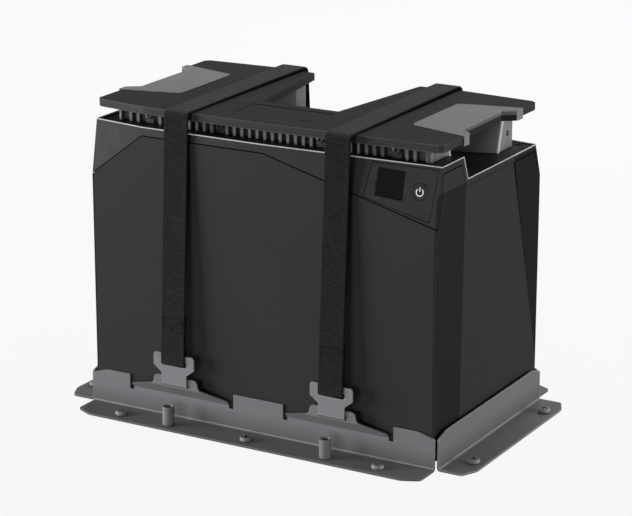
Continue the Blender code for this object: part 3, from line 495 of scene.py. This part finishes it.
def place_piece(name, bm, slot, body=PACK, look=None, sharp=30.0):
    """Turn a bmesh in world metres into a named piece with its finish, riding on a body."""
    bmesh.ops.recalc_face_normals(bm, faces=bm.faces)
    mesh = bpy.data.meshes.new(name)
    bm.to_mesh(mesh)
    bm.free()
    mesh.materials.append(look or LOOKS[slot])
    mesh.shade_smooth()
    mesh.set_sharp_from_angle(angle=math.radians(sharp))
    piece = bpy.data.objects.new(name, mesh)
    bpy.context.scene.collection.objects.link(piece)
    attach(piece, body)
    return piece


def lathe(bm, profile, matrix, segments=40):
    """Turn a profile of (radius, height) about the matrix's Z axis."""
    rings = []
    for radius, height in profile:
        count = segments if radius else 1
        angles = [math.tau * step / segments for step in range(count)]
        rings.append([bm.verts.new(matrix @ Vector((radius * math.cos(a), radius * math.sin(a), height)))
                      for a in angles])
    pairs = list(zip(rings, rings[1:]))
    if profile[0][0]:
        pairs.append((rings[-1], rings[0]))
    for lower, upper in pairs:
        for step in range(segments):
            after = (step + 1) % segments
            ring = [lower[step % len(lower)], lower[after % len(lower)],
                    upper[after % len(upper)], upper[step % len(upper)]]
            bm.faces.new(list(dict.fromkeys(ring)))


def block(bm, low, high, matrix=Matrix.Identity(4)):
    """A box between two corners."""
    size = Vector(high) - Vector(low)
    middle = (Vector(high) + Vector(low)) / 2
    bmesh.ops.create_cube(bm, size=1.0, matrix=matrix @ Matrix.LocRotScale(middle, None, size))


def cut_shape(bm, cutter):
    """The first bmesh with the second one taken away."""
    shapes = []
    for source in (bm, cutter):
        bmesh.ops.recalc_face_normals(source, faces=source.faces)
        mesh = bpy.data.meshes.new("shape")
        source.to_mesh(mesh)
        source.free()
        shapes.append(bpy.data.objects.new("shape", mesh))
        bpy.context.scene.collection.objects.link(shapes[-1])
    step = shapes[0].modifiers.new("cut", "BOOLEAN")
    step.operation = "DIFFERENCE"
    step.object = shapes[1]
    bpy.context.view_layer.update()
    graph = bpy.context.evaluated_depsgraph_get()
    result = bmesh.new()
    result.from_mesh(shapes[0].evaluated_get(graph).data)
    for shape in shapes:
        bpy.data.objects.remove(shape)
    return result


def rounded(corners, radii, steps=6):
    """A path through its corners, each inner one replaced by an arc of its own radius."""
    path = [Vector(corners[0])]
    for before, corner, after, radius in zip(corners, corners[1:], corners[2:], radii):
        corner = Vector(corner)
        back = (Vector(before) - corner).normalized()
        ahead = (Vector(after) - corner).normalized()
        half = back.angle(ahead) / 2
        centre = corner + (back + ahead).normalized() * radius / math.sin(half)
        start = corner + back * radius / math.tan(half) - centre
        end = corner + ahead * radius / math.tan(half) - centre
        for step in range(steps + 1):
            point = centre + start.lerp(end, step / steps).normalized() * radius
            if (point - path[-1]).length > 0.00005:
                path.append(point)
    path.append(Vector(corners[-1]))
    return path


def filled_in(path, step):
    """The path with extra points, so that no two are further apart than step."""
    points = [path[0]]
    for point in path[1:]:
        count = max(1, math.ceil((point - points[-1]).length / step))
        start = points[-1]
        points += [start.lerp(point, index / count) for index in range(1, count + 1)]
    return points


# --- CAD nodes --------------------------------------------------------------------------------

EDGE_ROUNDING = {  # slot: radius of the rounding along a node's edges
    "graphite_plastic": 0.0004, "cover_plastic": 0.0010, "grip_plastic": 0.0024, "gloss_black": 0.0003,
    "gloss_panel": 0.0001, "cast_aluminium": 0.0009, "powder_grey": 0.0008, "zinc_steel": 0.0004,
    "hook_grey": 0.0007, "rubber_black": 0.0008, "cell_blue": 0.0012, "board_green": 0.0002,
    "tray_white": 0.0005,
}


def dress_nodes():
    """Give each CAD node its finish, and round its edges so that they catch the light."""
    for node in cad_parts.values():
        slot = node.data.materials[0].name.split(".")[0]
        for holder in node.material_slots:
            holder.material = LOOKS[slot]
        if slot not in EDGE_ROUNDING:
            continue
        weld = node.modifiers.new("weld", "WELD")
        weld.merge_threshold = 0.000002
        flat = node.modifiers.new("flat", "DECIMATE")
        flat.decimate_type = "DISSOLVE"
        flat.angle_limit = math.radians(0.4)
        bevel = node.modifiers.new("edges", "BEVEL")
        bevel.width = EDGE_ROUNDING[slot]
        bevel.segments = 2
        bevel.limit_method = "ANGLE"
        bevel.angle_limit = math.radians(32)
        bevel.use_clamp_overlap = True
        bevel.harden_normals = False
        even = node.modifiers.new("normals", "WEIGHTED_NORMAL")
        even.keep_sharp = False


# --- Straps -----------------------------------------------------------------------------------

WEB_HALF = 0.01625


def web_section():
    """Half-thickness of the webbing across its width, as an outline of (across, out) points."""
    top = []
    for across, out in ((-1.0, 0.0), (-0.985, 0.55), (-0.94, 0.9), (-0.86, 1.0), (-0.80, 0.9), (-0.4, 1.0),
                        (0.0, 1.0), (0.4, 1.0), (0.80, 0.9), (0.86, 1.0), (0.94, 0.9), (0.985, 0.55)):
        top.append((across * WEB_HALF, out * WEB / 2))
    bottom = [(-across, -out) for across, out in top]
    return top + bottom


def hook_loop(top):
    """Path of a webbing end from its stitched tail at height top, round the hook's bar."""
    reach = HOOK_SHEET / 2 + WEB / 2 + 0.0004
    front, back = HOOK_Y - reach, HOOK_Y + reach
    low = HOOK_BAR + 0.0003 - reach
    tail_y = HOOK_Y + 0.00055
    path = ((tail_y + (top - 0.096) * 0.054, top), (tail_y, 0.096), (back, 0.084), (back, low),
            (front, low), (front, 0.082))
    return path, (0.008, 0.008, reach - 0.00001, reach - 0.00001)


def long_path():
    """From the front hook over the cover and down into the rear buckle."""
    start, radii = hook_loop(0.132)
    buckle = -(BUCKLE_Y - 0.001 - WEB / 2 - 0.0004)
    over = (STRAP_TOP, (0.1345, 0.369), (buckle, 0.212), (buckle, 0.160))
    return rounded((*start, *over), (*radii, 0.004, 0.005, 0.009, 0.020))


def short_path():
    """Between a rear hook and its buckle, looped at both ends, drawn at -Y."""
    start, radii = hook_loop(0.108)
    outer, inner = BUCKLE_Y - 0.001 - WEB / 2 - 0.0004, BUCKLE_Y + 0.001 + WEB / 2 + 0.0004
    turn = (inner - outer) / 2
    top = BUCKLE_TOP + turn
    end = ((outer, 0.146), (outer, top), (inner, top), (inner, 0.147), (-0.1442, 0.137),
           (-0.1456, 0.119))
    return rounded((*start, *end), (*radii, 0.004, 0.004, turn - 0.00001, turn - 0.00001, 0.003, 0.004))


def strap(name, node, path, back):
    """A webbing swept along its path of (y, z) points, with its own length and width as UVs."""
    low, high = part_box(node)
    middle = (low.x + high.x) / 2
    turn = -1 if back else 1
    section = web_section()
    points = filled_in(path, 0.006)
    bm = bmesh.new()
    woven = bm.loops.layers.uv.new("weave")
    rings, length = [], 0.0
    for index, point in enumerate(points):
        before, after = points[max(index - 1, 0)], points[min(index + 1, len(points) - 1)]
        along = (after - before).normalized()
        out = Vector((-along.y, along.x))
        if index:
            length += (point - points[index - 1]).length
        ring = []
        for across, height in section:
            spot = point + out * height
            vertex = bm.verts.new((middle + turn * across, turn * spot.x, spot.y + FLANGE))
            ring.append((vertex, (across, length)))
        rings.append(ring)
    for first, second in zip(rings, rings[1:]):
        for step in range(len(section)):
            after = (step + 1) % len(section)
            corners = (first[step], first[after], second[after], second[step])
            face = bm.faces.new([corner[0] for corner in corners])
            for loop, corner in zip(face.loops, corners):
                loop[woven].uv = corner[1]
    for ring in (rings[0], rings[-1]):
        bm.faces.new([vertex for vertex, place in ring])
    piece = place_piece(name, bm, "webbing_black", sharp=50)
    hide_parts(node)
    return piece


def stitch(bm, start, end, radius=0.00032):
    """One stitch of thread, a thin capsule lying between two points."""
    run = end - start
    turn = run.to_track_quat("Z", "Y").to_matrix().to_4x4()
    length = run.length
    profile = ((0, 0), (radius * 0.75, radius * 0.3), (radius, radius), (radius, length - radius),
               (radius * 0.75, length - radius * 0.3), (0, length))
    lathe(bm, profile, Matrix.Translation(start) @ turn, 6)


def stitched_patch(name, x, y, low, high):
    """A box of stitches with a cross in it, on the webbing's outer face."""
    half, pitch, thread = 0.013, 0.0034, 0.0022
    corners = [(-half, low), (half, low), (half, high), (-half, high)]
    runs = [*zip(corners, corners[1:] + corners[:1]), (corners[0], corners[2]), (corners[1], corners[3])]
    bm = bmesh.new()
    for (x0, z0), (x1, z1) in runs:
        start, end = Vector((x + x0, y, z0 + FLANGE)), Vector((x + x1, y, z1 + FLANGE))
        count = int((end - start).length / pitch)
        along = (end - start) / count
        for index in range(count):
            first = start + along * (index + 0.15)
            stitch(bm, first, first + along.normalized() * thread)
    return place_piece(name, bm, "webbing_black")


def build_straps():
    """The four webbings in place of the plain CAD ones, with the stitches that close their loops."""
    for side in ("left", "right"):
        node = f"webbing_long_{side}"
        low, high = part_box(node)
        middle = (low.x + high.x) / 2
        strap(f"strap_long_{side}", node, long_path(), False)
        strap(f"strap_short_{side}", f"webbing_short_{side}", short_path(), True)
        outer = HOOK_SHEET / 2 + WEB + 0.0004
        for row, sign, low_z, high_z in (("front", 1, 0.100, 0.126), ("back", -1, 0.096, 0.106)):
            y = sign * (HOOK_Y - outer - 0.0001)
            if row == "front":
                slope = (STRAP_TOP[0] - (HOOK_Y - outer + WEB / 2)) / (STRAP_TOP[1] - 0.082)
                y += slope * ((low_z + high_z) / 2 - 0.082)
            stitched_patch(f"stitches_{row}_{side}", middle, y, low_z, high_z)


# --- Rim --------------------------------------------------------------------------------------

def seam_height(seam, x):
    """Height of the seam's bent line at x."""
    (x0, z0), (x1, z1), (x2, z2), (x3, z3) = seam
    left = z0 + (x - x0) * (z1 - z0) / (x1 - x0)
    right = z3 + (x - x3) * (z3 - z2) / (x3 - x2)
    return min(left, z1, right)


def rim_point(seam, lean, side, x, z):
    """A point of the rim's outer edge at x, on the front (-1) or back (1) face."""
    return Vector((x, side * (CASE_Y - lean * (z - seam_height(seam, x))), z + FLANGE))


def build_rim():
    """A bead along the rim's outer edge all the way round, in place of its bright chamfer: near white and
    glowing a little, a painted highlight.
    """
    front = [rim_point(FRONT_SEAM, FRONT_LEAN, -1, x, RIM_Z) for x, z in FRONT_SEAM]
    back = [rim_point(BACK_SEAM, BACK_LEAN, 1, x, LOW_RIM_Z) for x, z in BACK_SEAM[::-1]]
    drops = [[Vector((side * CASE_X, y, z + FLANGE)) for y, z in zip(RIM_DROP, (RIM_Z, LOW_RIM_Z))]
             for side in (1, -1)]
    route = [*front, *drops[0], *back, *drops[1][::-1]]
    curve = bpy.data.curves.new("rim_highlight", "CURVE")
    curve.dimensions = "3D"
    curve.bevel_depth = 0.0007
    curve.bevel_resolution = 2
    spline = curve.splines.new("POLY")
    spline.points.add(len(route) - 1)
    for spot, point in zip(spline.points, route):
        spot.co = (*point, 1.0)
    spline.use_cyclic_u = True
    holder = bpy.data.objects.new("rim_curve", curve)
    bpy.context.scene.collection.objects.link(holder)
    bpy.context.view_layer.update()
    bm = bmesh.new()
    bm.from_mesh(holder.to_mesh())
    bpy.data.objects.remove(holder)
    place_piece("rim_highlight", bm, "graphite_plastic", look=HIGHLIGHT_LINE, sharp=60)


# --- Screws and sleeves -----------------------------------------------------------------------

def pan_screw(name, node, angle):
    """A pan-head screw with a cross recess, in the place of the plain CAD screw."""
    low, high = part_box(node)
    middle = (low + high) / 2
    r = FLOOR_SCREW_RADIUS
    seat = Matrix.Translation((middle.x, middle.y, low.z))
    head = 0.0025
    profile = ((0, 0), (0.003, 0), (0.003, head), (r - 0.0004, head), (r, head + 0.0004), (r, head + 0.0022),
               (r * 0.96, head + 0.0034), (r * 0.86, head + 0.0043), (r * 0.62, head + 0.0047),
               (r * 0.35, head + 0.0049), (0, head + 0.0050))
    bm = bmesh.new()
    lathe(bm, profile, seat, 48)
    cutter = bmesh.new()
    turn = Matrix.Rotation(angle, 4, "Z")
    for long, wide in ((0.0046, 0.0011), (0.0011, 0.0046)):
        block(cutter, (-long, -wide, head + 0.0008), (long, wide, 0.010), seat @ turn)
    piece = place_piece(name, cut_shape(bm, union(cutter)), "zinc_steel", sharp=35)
    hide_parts(node)


def union(bm):
    """The two bars of a cross joined into one solid."""
    bm.verts.ensure_lookup_table()
    halves = [bmesh.new(), bmesh.new()]
    bm.faces.ensure_lookup_table()
    for index, half in enumerate(halves):
        corners = bm.verts[index * 8:index * 8 + 8]
        fresh = {vertex: half.verts.new(vertex.co) for vertex in corners}
        for face in bm.faces[index * 6:index * 6 + 6]:
            half.faces.new([fresh[vertex] for vertex in face.verts])
    bm.free()
    joined = []
    for half in halves:
        bmesh.ops.recalc_face_normals(half, faces=half.faces)
        mesh = bpy.data.meshes.new("bar")
        half.to_mesh(mesh)
        half.free()
        joined.append(bpy.data.objects.new("bar", mesh))
        bpy.context.scene.collection.objects.link(joined[-1])
    step = joined[0].modifiers.new("join", "BOOLEAN")
    step.operation = "UNION"
    step.object = joined[1]
    bpy.context.view_layer.update()
    result = bmesh.new()
    result.from_mesh(joined[0].evaluated_get(bpy.context.evaluated_depsgraph_get()).data)
    for bar in joined:
        bpy.data.objects.remove(bar)
    return result


def sleeve(name, node):
    """A threaded stand-off with chamfered rims and the thread's crests inside its bore."""
    low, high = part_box(node)
    middle = (low + high) / 2
    radius, height = (high.x - low.x) / 2, high.z - low.z
    bore, pitch, depth = STANDOFF_BORE - 0.0005, 0.0015, 0.0004
    inside = []
    count = int((height - 0.002) / pitch)
    for turn in range(count):
        z = height - 0.001 - turn * pitch
        inside += [(bore + depth, z), (bore, z - pitch / 2)]
    profile = [(bore + 0.0008, 0), (radius - 0.0004, 0), (radius, 0.0004), (radius, height - 0.0006),
               (radius - 0.0006, height), (bore + depth + 0.0003, height), *inside]
    bm = bmesh.new()
    lathe(bm, profile, Matrix.Translation((middle.x, middle.y, low.z)), 40)
    piece = place_piece(name, bm, "zinc_steel", sharp=40)
    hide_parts(node)


def socket_screw(name, seat, radius, height, look):
    """A low-head screw with a six-sided recess; seat is its underside, Z out of the surface."""
    profile = ((0, 0), (radius, 0), (radius, height * 0.6), (radius * 0.93, height * 0.88),
               (radius * 0.8, height), (0, height))
    bm = bmesh.new()
    lathe(bm, profile, seat, 32)
    cutter = bmesh.new()
    lathe(cutter, ((0, height * 0.3), (radius * 0.5, height * 0.3), (radius * 0.5, height * 2),
                   (0, height * 2)), seat, 6)
    place_piece(name, cut_shape(bm, cutter), "zinc_steel", look=look)


def build_fasteners():
    """Floor screws and stand-offs in place of the CAD ones, and the small screws above."""
    names = sorted(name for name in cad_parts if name.startswith("floor_screw"))
    for index, node in enumerate(names):
        pan_screw(node.replace("floor_screw", "pan_screw"), node, math.radians(20 + 47 * index))
    for node in sorted(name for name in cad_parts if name.startswith("standoff")):
        sleeve(node.replace("standoff", "sleeve"), node)

    low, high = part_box("top_housing")
    out_front = Matrix.Rotation(math.radians(90), 4, "X")
    for index, x in enumerate(sorted((*BOSS_X, *[-value for value in BOSS_X])), 1):
        seat = Matrix.Translation((x, low.y + BOSS_SETBACK - 0.0001, BOSS_Z + FLANGE)) @ out_front
        socket_screw(f"boss_screw_{index}", seat, 0.0050, 0.0024, DARK_SCREW)
    deck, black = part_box("deck_plate")[0].z, LOOKS["gloss_black"]
    for side, sign in (("left", -1), ("right", 1)):
        out_side = Matrix.Rotation(sign * math.radians(90), 4, "Y")
        for place, y in (("front", low.y + 0.016), ("back", high.y - 0.017)):
            seat = Matrix.Translation((sign * (high.x - 0.0006), y, 0.333 + FLANGE)) @ out_side
            socket_screw(f"housing_screw_{place}_{side}", seat, 0.0034, 0.0010, black)
        seat = Matrix.Translation((sign * 0.206, 0.109, deck - 0.0006))
        socket_screw(f"deck_screw_{side}", seat, 0.0052, 0.0034, black)


def build_bay_edges():
    """Rods along the outer edges of the end bays, in place of their polished chamfers: near white and glowing
    a little, painted highlights.
    """
    half_low, z_low, half_high, z_high = BAY_EDGE
    radius, inset = 0.0020, 0.0013
    for side, sign in (("left", -1), ("right", 1)):
        bm = bmesh.new()
        for turn in (-1, 1):
            low, high = (Vector((sign * (POST_END - inset), BAY_Y + turn * (half + inset), z + FLANGE))
                         for half, z in ((half_low, z_low), (half_high, z_high)))
            run = high - low
            seat = Matrix.Translation(low) @ run.to_track_quat("Z", "Y").to_matrix().to_4x4()
            lathe(bm, ((0, 0), (radius, 0), (radius, run.length), (0, run.length)), seat, 24)
        place_piece(f"bay_highlights_{side}", bm, "cast_aluminium", look=HIGHLIGHT_LINE, sharp=50)


# --- Display group ----------------------------------------------------------------------------

def build_icon():
    """The power sign on the button: a broken ring with a bar, standing a little proud."""
    low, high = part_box("power_button")
    centre = (low + high) / 2
    (x0, z0), (x1, z1) = FRONT_SEAM[2:]
    fall = (z1 - z0) / (x1 - x0)
    out = Vector((-FRONT_LEAN * fall, -1.0, FRONT_LEAN)).normalized()
    across = Vector((1, 0, 0)) - out * out.x
    across.normalize()
    upward = across.cross(out) * -1
    if upward.z < 0:
        upward = -upward
    face = centre + out * 0.00165
    ring, stroke, rise = 0.0041, 0.0010, 0.00015

    def spot(u, v, lift):
        return face + across * u + upward * v + out * lift

    bm = bmesh.new()
    steps, gap = 36, math.radians(38)
    rows = []
    for step in range(steps + 1):
        angle = math.pi / 2 + gap + (math.tau - 2 * gap) * step / steps
        row = []
        for radius, lift in ((ring - stroke / 2, -0.0003), (ring - stroke / 2, rise),
                             (ring + stroke / 2, rise), (ring + stroke / 2, -0.0003)):
            row.append(bm.verts.new(spot(radius * math.cos(angle), radius * math.sin(angle) - 0.0006,
                                         lift)))
        rows.append(row)
    for first, second in zip(rows, rows[1:]):
        for step in range(4):
            after = (step + 1) % 4
            bm.faces.new((first[step], first[after], second[after], second[step]))
    bm.faces.new(rows[0])
    bm.faces.new(rows[-1])
    bar = [bm.verts.new(spot(u * stroke / 2, v, lift)) for lift in (-0.0003, rise)
           for u, v in ((-1, 0.0), (1, 0.0), (1, 0.0052), (-1, 0.0052))]
    for step in range(4):
        after = (step + 1) % 4
        bm.faces.new((bar[step], bar[after], bar[after + 4], bar[step + 4]))
    bm.faces.new(bar[:4])
    bm.faces.new(bar[4:])
    place_piece("power_sign", bm, "grip_plastic", body="button", look=GLOWING_PRINT, sharp=40)


# --- Sockets, ports, hatch and levers ----------------------------------------------------------

def build_contacts():
    """Pins in the power sockets and spring contacts in the data ports."""
    for side, sign in (("left", -1), ("right", 1)):
        low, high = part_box(f"power_socket_{side}")
        middle = (low + high) / 2
        base = low.x if sign > 0 else high.x
        seat = Matrix.Translation((base + sign * 0.0055, middle.y, middle.z))
        seat = seat @ Matrix.Rotation(sign * math.radians(90), 4, "Y")
        bm = bmesh.new()
        lathe(bm, ((0, 0), (0.0032, 0), (0.0032, 0.0062), (0.0026, 0.0072), (0, 0.0075)), seat, 24)
        place_piece(f"socket_pin_{side}", bm, "zinc_steel", look=CONTACT)
    bm = bmesh.new()
    for x in (-0.028, 0, 0.028):
        for index in range(8):
            left = x - 0.0045 + index * 0.00115
            block(bm, (left, -0.0775, 0.3461 + FLANGE), (left + 0.0006, -0.0670, 0.3470 + FLANGE))
    place_piece("port_contacts", bm, "zinc_steel", look=CONTACT)


def build_seal():
    """A rubber bead round the well, under the hatch."""
    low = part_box("hatch_lid")[0]
    floor = 0.3607 + FLANGE
    bm = bmesh.new()
    x_out, x_in = 0.0505, 0.0490
    y_low, y_high = low.y + 0.0015, -0.0585
    for start, end in (((-x_out, y_low), (x_out, y_low + 0.0015)), ((-x_out, y_low), (-x_in, y_high)),
                       ((x_in, y_low), (x_out, y_high))):
        block(bm, (*start, floor - 0.0001), (*end, floor + 0.0002))
    place_piece("hatch_seal", bm, "rubber_black")


def build_lever_grips():
    """Raised ribs across the thumb end of each cam lever."""
    for side in ("left", "right"):
        low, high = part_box(f"cam_lever_{side}")
        middle = (low.x + high.x) / 2
        bm = bmesh.new()
        for index in range(4):
            z = PIVOT[1] - 0.030 - index * 0.0028
            y = PIVOT[0] + 0.0036 + (PIVOT[1] - 0.025 - z) * 0.275 + 0.0002
            turn = Matrix.Rotation(math.radians(90), 4, "Y")
            seat = Matrix.Translation((middle - 0.016, y, z + FLANGE)) @ turn
            lathe(bm, ((0, 0), (0.0006, 0.0002), (0.0008, 0.001), (0.0008, 0.031), (0.0006, 0.0318),
                       (0, 0.032)), seat, 10)
        place_piece(f"lever_ribs_{side}", bm, "zinc_steel", body=f"lever_{side}")


# --- Floor, light and camera ------------------------------------------------------------------

def build_floor():
    """A plain pale floor that gives back nearly the backdrop's own tone."""
    mesh = bpy.data.meshes.new("floor")
    half = FLOOR_SIZE / 2
    mesh.from_pydata([(-half, -half, 0), (half, -half, 0), (half, half, 0), (-half, half, 0)], [],
                     [(0, 1, 2, 3)])
    floor = bpy.data.objects.new("floor", mesh)
    bpy.context.scene.collection.objects.link(floor)
    material = bpy.data.materials.new("floor_pale")
    material.use_nodes = True
    shader = material.node_tree.nodes["Principled BSDF"]
    shader.inputs["Base Color"].default_value = (0.04, 0.04, 0.04, 1)
    shader.inputs["Roughness"].default_value = 1.0
    shader.inputs["Specular IOR Level"].default_value = 0.0
    shader.inputs["Emission Color"].default_value = (1, 1, 1, 1)
    shader.inputs["Emission Strength"].default_value = 0.91
    mesh.materials.append(material)
    floor.visible_glossy = False
    floor.visible_diffuse = False


def build_world():
    """A pale backdrop for the camera, and a dimmer studio round the pack for light."""
    world = bpy.data.worlds.new("studio")
    bpy.context.scene.world = world
    world.use_nodes = True
    tree = world.node_tree
    tree.nodes.clear()
    output = tree.nodes.new("ShaderNodeOutputWorld")
    mix = tree.nodes.new("ShaderNodeMixShader")
    path = tree.nodes.new("ShaderNodeLightPath")
    tree.links.new(path.outputs["Is Camera Ray"], mix.inputs[0])
    tree.links.new(mix.outputs[0], output.inputs[0])
    for slot, level in ((1, 0.10), (2, BACKDROP)):
        back = tree.nodes.new("ShaderNodeBackground")
        back.inputs["Color"].default_value = (level, level, level, 1)
        tree.links.new(back.outputs[0], mix.inputs[slot])


def softbox(name, place, aim, size, power):
    """A large square area light."""
    light = bpy.data.lights.new(name, "AREA")
    light.shape = "RECTANGLE"
    light.size, light.size_y = size
    light.energy = power
    lamp = bpy.data.objects.new(name, light)
    lamp.location = place
    lamp.rotation_euler = (Vector(aim) - Vector(place)).to_track_quat("-Z", "Y").to_euler()
    bpy.context.scene.collection.objects.link(lamp)
    return lamp


def build_lights():
    """Four softboxes; the front and back ones leave no reflections."""
    softbox("key", (-2.50, -1.62, 0.58), (0, 0, 0.18), (2.1, 1.15), 62)
    fill = softbox("fill", (0.10, -2.90, 0.42), (0, 0, 0.18), (1.4, 0.8), 20)
    fill.visible_glossy = False
    softbox("side", (2.45, 0.75, 0.50), (0, 0, 0.15), (1.2, 1.0), 32)
    back = softbox("back", (-0.4, 2.4, 1.7), (0, 0, 0.25), (1.8, 1.2), 70)
    back.visible_glossy = False


def build_camera():
    """A long lens looking down on the front right corner."""
    camera = bpy.data.cameras.new("camera")
    camera.lens = LENS_MM
    camera.sensor_width = SENSOR_MM
    camera.sensor_fit = "HORIZONTAL"
    camera.clip_start = 0.1
    view = bpy.data.objects.new("camera", camera)
    view.location = CAMERA_PLACE
    view.rotation_euler = (math.radians(90 + CAMERA_TILT), 0, math.radians(CAMERA_HEADING))
    bpy.context.scene.collection.objects.link(view)
    bpy.context.scene.camera = view


build_camera()
dress_nodes()
build_straps()
build_rim()
build_fasteners()
build_bay_edges()
build_icon()
build_contacts()
build_seal()
build_lever_grips()
build_floor()
build_world()
build_lights()
bpy.context.scene.view_settings.view_transform = "Standard"
